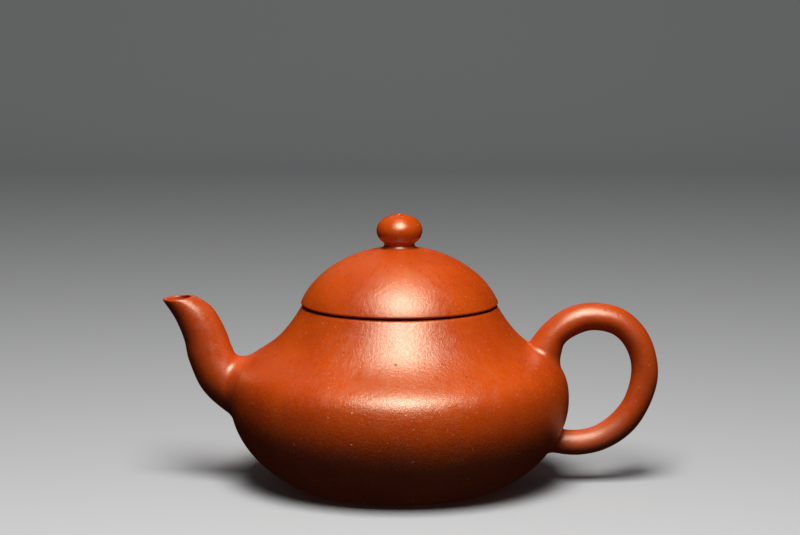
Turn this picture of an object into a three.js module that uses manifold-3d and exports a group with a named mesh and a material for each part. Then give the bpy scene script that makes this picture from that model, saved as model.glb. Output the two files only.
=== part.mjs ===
// A small Yixing clay teapot, in millimetres, +Z up. It stands on z = 0, and the origin is the
// bottom centre of the whole pot's box, so the round body's axis lies a little towards the spout.
// The spout points along -X and the handle along +X. Each slab, ring or bead of clay that the
// potter lutes together is its own mesh, with a thin joint between neighbours.
import * as THREE from "three";
import { mergeVertices } from "three/addons/utils/BufferGeometryUtils.js";
import Module from "manifold-3d";

const wasm = await Module();
wasm.setup();

// ---------- driving dimensions ----------
const joint = 0.3; // the slip joint between two neighbouring pieces
const wall = 2.8; // thickness of the beaten clay wall
const edge = 0.45; // rounding of the mouth's and the lid's edges

// The side is three curves. Each pull is how strongly a curve holds its direction at an end.
const degree = Math.PI / 180;
const footRadius = 25; // outside of the ring that the pot stands on
const footInner = 21.2; // where the base disc is set in
const footSlope = 8 * degree;
const bellyRadius = 44;
const bellyHeight = 22.7;
const turnRadius = 36.4; // where the shoulder turns from full to hollow
const turnHeight = 34.8;
const turnSlope = 32.5 * degree;
const mouthRadius = 25.2;
const mouthHeight = 47.15;
const mouthSlope = 61 * degree;
const lowerPull = { start: 5, end: 13.4 };
const bellyPull = { start: 7.5, end: 5.1 };
const neckPull = { start: 4.3, end: 8.7 };
const mouthBore = 20.8;
const floorThickness = 2.8;
const dishDepth = 1.9; // how far the underside of the base is pressed in

const lidRadius = 25.5;
const lidHeight = 62.24; // top of the dome
const lidSlope = 67.5 * degree;
const domePull = { start: 7.3, end: 13.2 };
const flangeRadius = 20.4;
const flangeBore = 18;
const flangeFoot = 39.2; // how low the lid's flange reaches
const ventRadius = 0.9;

const knobRadius = 5.9;
const knobHalfHeight = 4.3;
const knobHeight = 66.5; // centre of the bead
const knobFoot = 3.4;

const spoutWall = 1.3;
const outletRadius = 5.4; // hole in the wall behind the spout
const outletHeight = 26.4;
const strainerRadius = 7.2;
const strainerWall = 1.6;
const strainerHole = 0.8;

// Across the spout: [outer edge x, z], [inner edge x, z], half width along Y, from root to lip.
const spoutStations = [
  { outer: [-37.3, 14.8], inner: [-34.5, 32], half: 7.6 },
  { outer: [-44.9, 19], inner: [-41.7, 33.6], half: 7 },
  { outer: [-51.1, 24.8], inner: [-43.5, 36.1], half: 6.3 },
  { outer: [-54.5, 32.3], inner: [-44.7, 39.5], half: 5.8 },
  { outer: [-55.8, 38.1], inner: [-46.4, 43.3], half: 5.4 },
  { outer: [-58.1, 43.7], inner: [-48.9, 46.9], half: 4.9 },
  { outer: [-61.5, 48.7], inner: [-52.9, 49.5], half: 4.3 },
];

// Across the handle, from its upper root round to its lower root.
const handleStations = [
  { outer: [30.6, 32.9], inner: [39.2, 28.6], half: 5.2 },
  { outer: [33.9, 37.5], inner: [41.6, 33.2], half: 4.9 },
  { outer: [37.6, 42.1], inner: [42.9, 37.1], half: 4.5 },
  { outer: [43, 46.1], inner: [46.6, 39.6], half: 4.2 },
  { outer: [50, 47.6], inner: [50.6, 40.5], half: 4.1 },
  { outer: [58.2, 45.8], inner: [55.4, 39.3], half: 4.1 },
  { outer: [64.3, 39.9], inner: [58.7, 35.7], half: 4.1 },
  { outer: [67.05, 31], inner: [60.2, 30.4], half: 4 },
  { outer: [66, 23], inner: [59.2, 24.3], half: 3.9 },
  { outer: [61.6, 14.9], inner: [56.6, 19.7], half: 3.8 },
  { outer: [55, 9.7], inner: [51.9, 15.7], half: 3.6 },
  { outer: [47.4, 7.6], inner: [46.8, 14.1], half: 3.6 },
  { outer: [39.7, 8.2], inner: [41, 14.5], half: 3.7 },
  { outer: [33, 9.9], inner: [34.6, 16.6], half: 3.8 },
];

const spoutReach = 61.5;
const handleReach = 67.1;
const axisX = (spoutReach - handleReach) / 2; // centres the box of the whole pot on the origin

const bodySides = 48;
const knobSides = 28;
const lowerSteps = 9; // chords along each curve of the side
const bellySteps = 6;
const neckSteps = 6;
const domeSteps = 11;

// ---------- solids ----------
function solidOf(geometry) {
  const bare = geometry.clone();
  bare.deleteAttribute("normal");
  bare.deleteAttribute("uv");
  const merged = mergeVertices(bare, 1e-3);
  const index = merged.index.array;
  const faces = [];
  for (let i = 0; i < index.length; i += 3) {
    const [a, b, c] = index.slice(i, i + 3);
    if (a !== b && b !== c && c !== a) faces.push(a, b, c);
  }
  return new wasm.Manifold(
    new wasm.Mesh({
      numProp: 3,
      vertProperties: merged.attributes.position.array,
      triVerts: new Uint32Array(faces),
    }),
  );
}

function geometryOf(solid) {
  const mesh = solid.getMesh();
  const geometry = new THREE.BufferGeometry();
  geometry.setAttribute("position", new THREE.BufferAttribute(mesh.vertProperties, 3));
  geometry.setIndex(new THREE.BufferAttribute(mesh.triVerts, 1));
  geometry.computeVertexNormals();
  return geometry;
}

// ---------- outlines ----------
// A point at a distance and an angle from another, both in the (radius, height) plane.
function step(from, length, angle) {
  return new THREE.Vector2(from.x + length * Math.cos(angle), from.y + length * Math.sin(angle));
}

// Part of a curve, as points moved outwards by offset. Outwards is to the right of its way up.
function along(curve, from, to, count, offset = 0) {
  const points = [];
  for (let i = 0; i <= count; i++) {
    const t = from + ((to - from) * i) / count;
    const tangent = curve.getTangent(t);
    const point = curve.getPoint(t);
    points.push(new THREE.Vector2(point.x + offset * tangent.y, point.y - offset * tangent.x));
  }
  return points;
}

function closed(points) {
  return [...points, points[0].clone()];
}

// Turns an outline of (radius, height) points about Z.
function turned(points, sides) {
  return new THREE.LatheGeometry(points, sides).rotateX(Math.PI / 2);
}

const foot = new THREE.Vector2(footRadius, 0);
const belly = new THREE.Vector2(bellyRadius, bellyHeight);
const turn = new THREE.Vector2(turnRadius, turnHeight);
const mouth = new THREE.Vector2(mouthRadius, mouthHeight);
const inward = Math.PI - turnSlope; // direction of the shoulder where it turns
const up = Math.PI / 2;
const down = -Math.PI / 2;

const lowerCurve = new THREE.CubicBezierCurve(
  foot,
  step(foot, lowerPull.start, footSlope),
  step(belly, lowerPull.end, down),
  belly,
);
const bellyCurve = new THREE.CubicBezierCurve(
  belly,
  step(belly, bellyPull.start, up),
  step(turn, -bellyPull.end, inward),
  turn,
);
const neckCurve = new THREE.CubicBezierCurve(
  turn,
  step(turn, neckPull.start, inward),
  step(mouth, -neckPull.end, Math.PI - mouthSlope),
  mouth,
);

// The side from the foot to the turn of the shoulder, moved outwards by offset.
function side(offset = 0) {
  return [
    ...along(lowerCurve, 0, 1, lowerSteps, offset),
    ...along(bellyCurve, 1 / bellySteps, 1, bellySteps - 1, offset),
  ];
}

// The whole outside of the round body, moved outwards by offset and closed on the axis.
function bodyOutline(offset) {
  return [
    new THREE.Vector2(0, -offset),
    new THREE.Vector2(footRadius, -offset),
    ...side(offset),
    ...along(neckCurve, 1 / neckSteps, 1, neckSteps - 1, offset),
    new THREE.Vector2(0, mouthHeight + offset),
  ];
}

// ---------- pieces of the pot ----------
const shoulderSeam = 0.87; // place of the joint under the mouth, as a share of the neck's curve
// A short length near an end of a curve, as a share of the curve.
const share = (length, pull) => length / (3 * pull);

function baseDisc() {
  const radius = footInner - joint;
  const underside = new THREE.QuadraticBezierCurve(
    new THREE.Vector2(0, dishDepth),
    new THREE.Vector2(radius * 0.6, dishDepth),
    new THREE.Vector2(radius, joint),
  );
  const below = underside.getPoints(5);
  const above = below.map((p) => new THREE.Vector2(p.x, p.y + floorThickness)).reverse();
  return turned([...below, ...above], bodySides);
}

function bodyWall() {
  const rim = new THREE.Vector2(footInner, 0);
  const floor = new THREE.Vector2(footInner, floorThickness + joint);
  const outline = closed([rim, ...side(), ...side(-wall).reverse(), floor]);
  const shell = solidOf(turned(outline, bodySides));
  const outlet = new THREE.CylinderGeometry(outletRadius, outletRadius, 4 * wall, 20)
    .rotateZ(up)
    .translate(-bellyRadius, 0, outletHeight);
  return geometryOf(shell.subtract(solidOf(outlet)));
}

function shoulderDisc() {
  const ends = [share(joint, neckPull.start), shoulderSeam - share(joint, neckPull.end)];
  const outside = along(neckCurve, ...ends, neckSteps);
  const inside = along(neckCurve, ...ends, neckSteps, -wall).reverse();
  return turned(closed([...outside, ...inside]), bodySides);
}

function mouthRing() {
  const outside = along(neckCurve, shoulderSeam, 1 - share(edge, neckPull.end), 2);
  const [inside] = along(neckCurve, shoulderSeam, 1, 1, -wall);
  return turned(
    closed([
      ...outside,
      new THREE.Vector2(mouthRadius - edge, mouthHeight),
      new THREE.Vector2(mouthBore + edge, mouthHeight),
      new THREE.Vector2(mouthBore, mouthHeight - edge),
      new THREE.Vector2(mouthBore, inside.y + edge),
      inside,
    ]),
    bodySides,
  );
}

// A closed tube of oval rings, each across two facing edge points, moved in by inset.
function loft(stations, rings, sides, inset = 0) {
  const last = stations.length - 1;
  const outerEdge = new THREE.SplineCurve(stations.map((s) => new THREE.Vector2(...s.outer)));
  const innerEdge = new THREE.SplineCurve(stations.map((s) => new THREE.Vector2(...s.inner)));
  const halfWidth = new THREE.SplineCurve(
    stations.map((s, i) => new THREE.Vector2(i / last, s.half)),
  );
  const positions = [];
  const faces = [];
  for (let ring = 0; ring <= rings; ring++) {
    const a = outerEdge.getPoint(ring / rings);
    const b = innerEdge.getPoint(ring / rings);
    const middle = a.clone().add(b).divideScalar(2);
    const arm = b.clone().sub(a).divideScalar(2);
    arm.setLength(arm.length() - inset);
    const half = halfWidth.getPoint(ring / rings).y - inset;
    for (let side = 0; side < sides; side++) {
      const angle = (2 * Math.PI * side) / sides;
      positions.push(
        middle.x + arm.x * Math.cos(angle),
        half * Math.sin(angle),
        middle.y + arm.y * Math.cos(angle),
      );
    }
  }
  for (let ring = 0; ring < rings; ring++) {
    for (let side = 0; side < sides; side++) {
      const a = ring * sides + side;
      const b = ring * sides + ((side + 1) % sides);
      faces.push(a, b, a + sides, b, b + sides, a + sides);
    }
  }
  const top = rings * sides;
  for (let side = 1; side < sides - 1; side++) {
    faces.push(0, side + 1, side);
    faces.push(top, top + side, top + side + 1);
  }
  const geometry = new THREE.BufferGeometry();
  geometry.setAttribute("position", new THREE.Float32BufferAttribute(positions, 3));
  geometry.setIndex(faces);
  return geometry;
}

const bodyAndJoint = solidOf(turned(bodyOutline(joint), bodySides));

// The channel runs a little past the lip, so that the spout is open at its mouth.
function openEnded(stations) {
  const lip = stations.at(-1);
  const before = stations.at(-2);
  const past = (end, start) => end.map((value, i) => value + 0.2 * (value - start[i]));
  return [
    ...stations.slice(0, -1),
    lip,
    { outer: past(lip.outer, before.outer), inner: past(lip.inner, before.inner), half: lip.half },
  ];
}

function spout() {
  const outside = solidOf(loft(spoutStations, 15, 18));
  const channel = solidOf(loft(openEnded(spoutStations), 17, 14, spoutWall));
  return geometryOf(outside.subtract(channel).subtract(bodyAndJoint));
}

function handle() {
  return geometryOf(solidOf(loft(handleStations, 32, 12)).subtract(bodyAndJoint));
}

// A ball-shaped screen on the inside of the wall, over the outlet, that keeps the leaves back.
function strainer() {
  const inside = wall + joint;
  const cavity = solidOf(
    turned(
      [
        new THREE.Vector2(0, inside),
        ...side(-inside),
        new THREE.Vector2(0, turnHeight),
      ],
      bodySides,
    ),
  );
  const centre = new THREE.Vector3(-(bellyRadius - wall), 0, outletHeight);
  const ball = (radius) =>
    solidOf(
      new THREE.SphereGeometry(radius, 18, 10).rotateZ(up).translate(centre.x, 0, centre.z),
    );
  let screen = ball(strainerRadius).subtract(ball(strainerRadius - strainerWall));
  const circles = [
    { tilt: 0, count: 1 },
    { tilt: 26, count: 6 },
    { tilt: 52, count: 11 },
  ];
  for (const { tilt, count } of circles) {
    for (let i = 0; i < count; i++) {
      const hole = new THREE.CylinderGeometry(strainerHole, strainerHole, strainerRadius, 8)
        .translate(0, strainerRadius, 0)
        .rotateZ(-up + tilt * degree)
        .rotateX((2 * Math.PI * i) / count)
        .translate(centre.x, 0, centre.z);
      screen = screen.subtract(solidOf(hole));
    }
  }
  return geometryOf(screen.intersect(cavity));
}

// ---------- pieces of the lid ----------
const lidSeat = mouthHeight + joint;
const lidRim = new THREE.Vector2(lidRadius, lidSeat + 1.1 * edge);
const lidTop = new THREE.Vector2(0, lidHeight);
const domeCurve = new THREE.CubicBezierCurve(
  lidRim,
  step(lidRim, domePull.start, Math.PI - lidSlope),
  step(lidTop, domePull.end, 0),
  lidTop,
);

function lidDome() {
  const atVent = 1 - ventRadius / (3 * domePull.end); // where the curve is a vent's radius out
  const inner = 0.22; // the hollow starts inside the solid rim
  return turned(
    closed([
      new THREE.Vector2(flangeBore, lidSeat),
      new THREE.Vector2(lidRadius - edge, lidSeat),
      ...along(domeCurve, 0, atVent, domeSteps),
      ...along(domeCurve, inner, atVent, domeSteps - 3, -wall).reverse(),
      new THREE.Vector2(flangeBore, lidSeat + wall),
    ]),
    bodySides,
  );
}

function lidFlange() {
  const top = lidSeat - joint;
  return turned(
    closed([
      new THREE.Vector2(flangeBore, flangeFoot + edge),
      new THREE.Vector2(flangeBore + edge, flangeFoot),
      new THREE.Vector2(flangeRadius - edge, flangeFoot),
      new THREE.Vector2(flangeRadius, flangeFoot + edge),
      new THREE.Vector2(flangeRadius, top),
      new THREE.Vector2(flangeBore, top),
    ]),
    bodySides,
  );
}

function knob() {
  const bottom = lidHeight + joint;
  const from = -Math.acos(knobFoot / knobRadius);
  const to = Math.acos(ventRadius / knobRadius);
  const bead = [];
  const steps = 11;
  for (let i = 0; i <= steps; i++) {
    const angle = from + ((to - from) * i) / steps;
    bead.push(
      new THREE.Vector2(
        knobRadius * Math.cos(angle),
        knobHeight + knobHalfHeight * Math.sin(angle),
      ),
    );
  }
  return turned(
    closed([new THREE.Vector2(ventRadius, bottom), new THREE.Vector2(knobFoot, bottom), ...bead]),
    knobSides,
  );
}

// ---------- the teapot ----------
function clay(color, roughness) {
  return new THREE.MeshStandardMaterial({ color, roughness, metalness: 0 });
}

function piece(name, geometry, material) {
  const mesh = new THREE.Mesh(geometry, material);
  mesh.name = name;
  return mesh;
}

const pot = new THREE.Group();
pot.add(
  piece("base_disc", baseDisc(), clay(0x9c3d22, 0.5)),
  piece("body_wall", bodyWall(), clay(0xb4492a, 0.42)),
  piece("shoulder_disc", shoulderDisc(), clay(0xb84c2c, 0.42)),
  piece("mouth_ring", mouthRing(), clay(0xb0462a, 0.4)),
  piece("spout", spout(), clay(0xbb4f2d, 0.38)),
  piece("strainer", strainer(), clay(0xa24126, 0.5)),
  piece("handle", handle(), clay(0xbb4f2d, 0.38)),
);

const lid = new THREE.Group();
lid.add(
  piece("lid_dome", lidDome(), clay(0xb84c2c, 0.4)),
  piece("lid_flange", lidFlange(), clay(0xa8452a, 0.45)),
  piece("knob", knob(), clay(0xbd512e, 0.36)),
);

const teapot = new THREE.Group();
teapot.add(pot, lid);
teapot.position.x = axisX;

export default teapot;
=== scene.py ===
"""The looks of a small Yixing clay teapot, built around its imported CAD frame.

Shapes are worked out in millimetres about the pot's own axis, with +Z up, the spout along -X and
the handle along +X, and are moved to the frame's axis and turned into metres when a mesh is made.
"""
import math

import bmesh
import bpy
import numpy as np
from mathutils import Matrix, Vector, noise


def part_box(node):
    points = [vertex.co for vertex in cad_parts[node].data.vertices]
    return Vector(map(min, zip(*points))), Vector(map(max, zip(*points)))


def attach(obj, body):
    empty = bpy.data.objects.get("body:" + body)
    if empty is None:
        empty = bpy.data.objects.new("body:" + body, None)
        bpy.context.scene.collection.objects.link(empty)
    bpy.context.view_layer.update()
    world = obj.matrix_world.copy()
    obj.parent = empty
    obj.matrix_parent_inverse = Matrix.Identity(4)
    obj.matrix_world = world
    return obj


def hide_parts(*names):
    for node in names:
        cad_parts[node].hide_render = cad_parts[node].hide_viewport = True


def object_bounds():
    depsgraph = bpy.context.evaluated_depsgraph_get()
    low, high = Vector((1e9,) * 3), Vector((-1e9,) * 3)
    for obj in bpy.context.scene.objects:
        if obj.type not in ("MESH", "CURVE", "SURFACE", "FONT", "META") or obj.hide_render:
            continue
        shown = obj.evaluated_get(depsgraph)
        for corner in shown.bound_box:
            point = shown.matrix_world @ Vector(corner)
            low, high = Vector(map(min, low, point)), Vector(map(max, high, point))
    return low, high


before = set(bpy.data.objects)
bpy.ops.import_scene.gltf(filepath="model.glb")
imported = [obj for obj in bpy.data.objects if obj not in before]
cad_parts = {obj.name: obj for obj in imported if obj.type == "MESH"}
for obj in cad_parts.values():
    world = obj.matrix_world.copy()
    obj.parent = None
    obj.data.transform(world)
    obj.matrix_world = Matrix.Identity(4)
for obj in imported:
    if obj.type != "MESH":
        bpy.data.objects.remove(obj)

cad_low, cad_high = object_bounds()

MM = 0.001  # in metres
shoulder_low, shoulder_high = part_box("shoulder_disc")
AXIS_X = (shoulder_low.x + shoulder_high.x) / 2  # the round body's axis
TAU = 2 * math.pi

# ---------------------------------------------------------------- driving sizes, in mm
WALL = 2.8

FOOT_RADIUS = 25
FOOT_INNER = 21.2  # where the base disc meets the wall
FOOT_SLOPE = math.radians(8)
RING_INNER = 22.4  # the flat ring that the pot stands on
RING_OUTER = 24
DISH_DEPTH = 1.9  # of the pressed-in base
FLOOR_HEIGHT = 4.7
BELLY_RADIUS = 44
BELLY_HEIGHT = 22.7
TURN_RADIUS = 36.4  # the turn of the shoulder, where the neck's hollow sweep starts
TURN_HEIGHT = 34.8
TURN_SLOPE = math.radians(32.5)
MOUTH_RADIUS = 25.2
MOUTH_HEIGHT = 47.15
MOUTH_SLOPE = math.radians(61)
MOUTH_BORE = 20.8
BORE_DEPTH = 2.4
BORE_EDGE = 0.45  # rounding at the top of the bore
RIM_WIDTH = 1.05  # rounding at the outside of the mouth

LID_RADIUS = 25.5
LID_SEAT = 47.45
LID_HEIGHT = 62.24
LID_SLOPE = math.radians(67.5)
LID_EDGE = 0.5  # rounding at the outside of the lid
LID_STEP = 1.6  # height of the flat wall above the flange, inside the lid
FLANGE_RADIUS = 20.4
FLANGE_BORE = 18
FLANGE_FOOT = 39.2
VENT_RADIUS = 0.9

KNOB_RADIUS = 5.9
KNOB_HALF_HEIGHT = 4.3
KNOB_HEIGHT = 66.5  # of its widest place
KNOB_FOOT_RADIUS = 4.8
KNOB_SUNK = 0.6  # how far below the top of the dome the knob's foot lies

SPOUT_WALL = 1.3
OUTLET_RADIUS = 5.4
OUTLET_HEIGHT = 26.4
STRAINER_RADIUS = 7.2
STRAINER_WALL = 1.6
STRAINER_HOLE = 0.8

# How far a curve keeps its heading at its ends. A longer pull makes a fuller curve.
FOOT_PULL = 5
BELLY_PULL_DOWN = 13.4
BELLY_PULL_UP = 7.5
TURN_PULL_DOWN = 5.1
TURN_PULL_UP = 4.3
MOUTH_PULL = 8.7
LID_RIM_PULL = 7.3
LID_TOP_PULL = 13.2
EDGE_PULL = 0.25

# Across the spout: outer edge (x, z), inner edge (x, z), half width along y, from root to lip.
SPOUT = [
    ((-37.3, 14.8), (-34.5, 32), 7.6),
    ((-44.9, 19), (-41.7, 33.6), 7),
    ((-51.1, 24.8), (-43.5, 36.1), 6.3),
    ((-54.5, 32.3), (-44.7, 39.5), 5.8),
    ((-55.8, 38.1), (-46.4, 43.3), 5.4),
    ((-58.1, 43.7), (-48.9, 46.9), 4.9),
    ((-61.5, 48.7), (-52.9, 49.5), 4.3),
]

# Across the handle, from its upper root round to its lower root.
HANDLE = [
    ((30.6, 32.9), (39.2, 28.6), 5.2),
    ((33.9, 37.5), (41.6, 33.2), 4.9),
    ((37.6, 42.1), (42.9, 37.1), 4.5),
    ((43, 46.1), (46.6, 39.6), 4.2),
    ((50, 47.6), (50.6, 40.5), 4.1),
    ((58.2, 45.8), (55.4, 39.3), 4.1),
    ((64.3, 39.9), (58.7, 35.7), 4.1),
    ((67.05, 31), (60.2, 30.4), 4),
    ((66, 23), (59.2, 24.3), 3.9),
    ((61.6, 14.9), (56.6, 19.7), 3.8),
    ((55, 9.7), (51.9, 15.7), 3.6),
    ((47.4, 7.6), (46.8, 14.1), 3.6),
    ((39.7, 8.2), (41, 14.5), 3.7),
    ((33, 9.9), (34.6, 16.6), 3.8),
]

BODY_SIDES = 256
TUBE_SIDES = 72


# ---------------------------------------------------------------- curves of radius and height
def away(point, length, angle):
    """The point this far away at this angle from straight outwards."""
    return (point[0] + length * math.cos(angle), point[1] + length * math.sin(angle))


class Bezier:
    """A cubic curve in the (radius, height) plane. A positive offset is to its right."""

    def __init__(self, *points):
        self.points = np.array(points, float)

    def heading(self, t):
        """The unit direction at these shares of the curve."""
        t = np.atleast_1d(np.asarray(t, float))[:, None]
        a, b, c, d = self.points
        s = 1 - t
        pace = s**2 * (b - a) + 2 * s * t * (c - b) + t**2 * (d - c)
        return pace / np.linalg.norm(pace, axis=1)[:, None]

    def at(self, t, offset=0.0):
        """The points at these shares of the curve."""
        heading = self.heading(t)
        t = np.atleast_1d(np.asarray(t, float))[:, None]
        a, b, c, d = self.points
        s = 1 - t
        place = s**3 * a + 3 * s**2 * t * b + 3 * s * t**2 * c + t**3 * d
        return place + offset * np.stack([heading[:, 1], -heading[:, 0]], axis=1)

    def run(self, start, end, count, offset=0.0):
        """The points from one share of the curve to another, in this many steps."""
        return self.at(np.linspace(start, end, count + 1), offset)

    def where(self, radius):
        """The share of the curve at which it is this far from the axis."""
        t = np.linspace(0, 1, 2001)
        return t[np.argmin(np.abs(self.at(t)[:, 0] - radius))]


def line(a, b, count):
    """A straight run from a to b in this many steps."""
    return np.linspace(a, b, count + 1)


def corner(a, b, c, d):
    """A small rounding from a to d that leaves towards b and arrives from c."""
    return Bezier(a, b, c, d).run(0, 1, 5)


# ---------------------------------------------------------------- the hand-made surface
WAVES = ((14.0, 0.09), (5.0, 0.022))  # wavelength and height in mm of the hand's unevenness


def hand_made(points):
    """How far the potter's hand left each point out or in, in mm."""
    points = np.asarray(points, float)
    out = np.zeros(len(points))
    for wavelength, height in WAVES:
        for i, place in enumerate(points / wavelength):
            out[i] += height * noise.noise(Vector(place))
    return out


# ---------------------------------------------------------------- meshes
def band(a, a_count, b, b_count):
    """Faces between two rings that start at points a and b. A ring may be a single point."""
    faces = []
    for i in range(max(a_count, b_count)):
        j = (i + 1) % max(a_count, b_count)
        if a_count == 1:
            faces.append((a, b + j, b + i))
        elif b_count == 1:
            faces.append((a + i, a + j, b))
        else:
            faces.append((a + i, a + j, b + j, b + i))
    return faces


def skin(rings, looped):
    """Faces of the surface through rings of points, in order, closed on itself if looped."""
    counts = [len(ring) for ring in rings]
    starts = [sum(counts[:k]) for k in range(len(rings))]
    pairs = [(k, k + 1) for k in range(len(rings) - 1)]
    if looped:
        pairs.append((len(rings) - 1, 0))
    faces = []
    for a, b in pairs:
        faces += band(starts[a], counts[a], starts[b], counts[b])
    return faces


def grid_normals(grid):
    """Outward unit normals of a (rows, sides, 3) grid that closes round its sides."""
    along = np.gradient(grid, axis=0)
    around = np.roll(grid, -1, axis=1) - np.roll(grid, 1, axis=1)
    out = np.cross(around, along)
    return out / np.maximum(np.linalg.norm(out, axis=2, keepdims=True), 1e-12)


def make_mesh(name, points, faces):
    """A mesh from points in mm about the pot's axis, moved to the frame."""
    place = np.asarray(points, float) * MM
    place[:, 0] += AXIS_X
    mesh = bpy.data.meshes.new(name)
    mesh.from_pydata(place.tolist(), [], faces)
    return mesh


def make_object(name, data):
    """A new object in the scene, from a mesh, a lamp or a camera."""
    item = bpy.data.objects.new(name, data)
    bpy.context.scene.collection.objects.link(item)
    return item


def make_piece(name, body, replaced, points, faces, normals):
    """A smooth piece of clay. A nan in normals keeps the mesh's own normal at that point."""
    mesh = make_mesh(name, points, faces)
    mesh.update()
    mesh.polygons.foreach_set("use_smooth", [True] * len(mesh.polygons))
    own = np.empty(len(mesh.vertices) * 3)
    mesh.vertices.foreach_get("normal", own)
    own = own.reshape(-1, 3)
    given = ~np.isnan(normals[:, 0])
    own[given] = normals[given]
    mesh.normals_split_custom_set_from_vertices(own.tolist())
    piece = make_object(name, mesh)
    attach(piece, body)
    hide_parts(*replaced)
    return piece


class Turned:
    """An outline of named runs, turned about z, with the hand's unevenness on its surface.

    settle moves the smooth surface before that, and heights are the lowest and highest that the
    finished one may be. Pieces are cut from it by rows."""

    def __init__(self, sides, runs, settle=None, heights=(0, 100)):
        self.sides = sides
        self.rows = {}
        outline = []
        for name, run in runs.items():
            joined = outline and np.linalg.norm(run[0] - outline[-1]) < 1e-6
            start = len(outline) - 1 if joined else len(outline)
            outline += list(run[1:] if joined else run)
            self.rows[name] = (start, len(outline) - 1)
        outline = np.array(outline)
        angle = np.arange(sides) * TAU / sides
        smooth = np.stack(
            [
                outline[:, :1] * np.cos(angle),
                outline[:, :1] * np.sin(angle),
                np.repeat(outline[:, 1:], sides, axis=1),
            ],
            axis=2,
        )
        if settle:
            smooth = settle(smooth)
        uneven = hand_made(smooth.reshape(-1, 3)).reshape(smooth.shape[:2])
        self.grid = smooth + uneven[:, :, None] * grid_normals(smooth)
        self.grid[:, :, 2] = np.clip(self.grid[:, :, 2], *heights)
        self.normals = grid_normals(self.grid)

    def span(self, first, last):
        """The rows from the start of one run to the end of another."""
        return list(range(self.rows[first][0], self.rows[last][1] + 1))

    def piece(self, name, body, replaced, slot, rows, looped=True, cut=None):
        """A piece from these rows. cut may open holes in its points and faces."""
        rings = []
        normals = []
        for row in rows:
            on_axis = np.abs(self.grid[row, :, :2]).max() < 1e-3
            rings.append(self.grid[row, :1] if on_axis else self.grid[row])
            normals.append(np.full((1, 3), np.nan) if on_axis else self.normals[row])
        points = np.vstack(rings)
        faces = skin(rings, looped)
        if cut:
            faces = cut(points, faces)
        return make_piece(name, body, replaced, points, faces, np.vstack(normals))


# ---------------------------------------------------------------- the round body of the pot
foot = (FOOT_RADIUS, 0)
belly = (BELLY_RADIUS, BELLY_HEIGHT)
turn = (TURN_RADIUS, TURN_HEIGHT)
mouth = (MOUTH_RADIUS, MOUTH_HEIGHT)
INWARD = math.pi - TURN_SLOPE  # the way up and in at the turn of the shoulder
lower_curve = Bezier(
    foot, away(foot, FOOT_PULL, FOOT_SLOPE), away(belly, BELLY_PULL_DOWN, -math.pi / 2), belly
)
belly_curve = Bezier(
    belly, away(belly, BELLY_PULL_UP, math.pi / 2), away(turn, -TURN_PULL_DOWN, INWARD), turn
)
neck_curve = Bezier(
    turn, away(turn, TURN_PULL_UP, INWARD), away(mouth, -MOUTH_PULL, math.pi - MOUTH_SLOPE), mouth
)

HEEL_SHARE = 0.135  # where the wall's curve takes over from the rounded heel
RIM_SHARE = 0.973  # where the mouth's rounding takes over from the neck
SEAM_SHARE = 0.865  # the joint between the shoulder disc and the mouth ring

wall_t = np.linspace(HEEL_SHARE, 1, 52)
belly_t = np.linspace(0, 1, 26)
shoulder_t = np.linspace(0, SEAM_SHARE, 28)

DISH_MIDDLE = 12  # the dish is nearly level out to here
DISH_SIDE = 20  # and comes down to the standing ring from about here
dish = Bezier((0, DISH_DEPTH), (DISH_MIDDLE, DISH_DEPTH), (DISH_SIDE, 0), (RING_INNER, 0))
dish_split = dish.where(FOOT_INNER)

HEEL_CORNER = 25.2  # where the heel would be sharp
HEEL_PULL = 1.4
heel_end = lower_curve.at(HEEL_SHARE)[0]
heel_heading = lower_curve.heading(HEEL_SHARE)[0]
heel = Bezier((RING_OUTER, 0), (HEEL_CORNER, 0), heel_end - HEEL_PULL * heel_heading, heel_end)

RIM_PULL = 0.35
rim_start = neck_curve.at(RIM_SHARE)[0]
rim_heading = neck_curve.heading(RIM_SHARE)[0]
rim_end = (MOUTH_RADIUS - RIM_WIDTH, MOUTH_HEIGHT)
bore_edge = (MOUTH_BORE + BORE_EDGE, MOUTH_HEIGHT)
bore_top = (MOUTH_BORE, MOUTH_HEIGHT - BORE_EDGE)
bore_end = (MOUTH_BORE, MOUTH_HEIGHT - BORE_DEPTH)

UNDER_PULL = 1.3
UNDER_ARRIVAL = (-1.6, 1.1)  # the underside of the mouth ring comes to the neck from here
under_end = neck_curve.at(SEAM_SHARE, -WALL)[0]
under_ring = Bezier(
    bore_end, away(bore_end, UNDER_PULL, -math.pi / 2), under_end + UNDER_ARRIVAL, under_end
)

FLOOR_PULL = 2
FLOOR_MIDDLE = 14  # the floor inside is nearly level out to here
floor_start = lower_curve.at(HEEL_SHARE, -WALL)[0]
floor = Bezier(
    floor_start,
    floor_start - FLOOR_PULL * heel_heading,
    (FLOOR_MIDDLE, FLOOR_HEIGHT),
    (0, FLOOR_HEIGHT),
)
floor_split = floor.where(FOOT_INNER)

SETTLING = 0.9  # how far the shoulder has settled at the front and the back
SETTLED_HEIGHT = 35  # where it has settled the most
SETTLED_SPREAD = 5.5
SETTLING_STARTS = 0.3  # as the sine of the turn away from the spout or the handle
SETTLING_GROWS = 0.65  # and it is full after this much more of the sine


def settle_shoulder(grid):
    """Lets the shoulder down away from the spout and the handle, which it rises to meet."""
    radius = np.maximum(np.hypot(grid[:, :, 0], grid[:, :, 1]), 1e-9)
    sine = np.abs(grid[:, :, 1]) / radius
    turned_away = np.clip((sine - SETTLING_STARTS) / SETTLING_GROWS, 0, 1)
    turned_away = turned_away**2 * (3 - 2 * turned_away)
    hump = np.exp(-(((grid[:, :, 2] - SETTLED_HEIGHT) / SETTLED_SPREAD) ** 2))
    settled = grid.copy()
    settled[:, :, 2] -= SETTLING * hump * turned_away
    return settled


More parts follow.
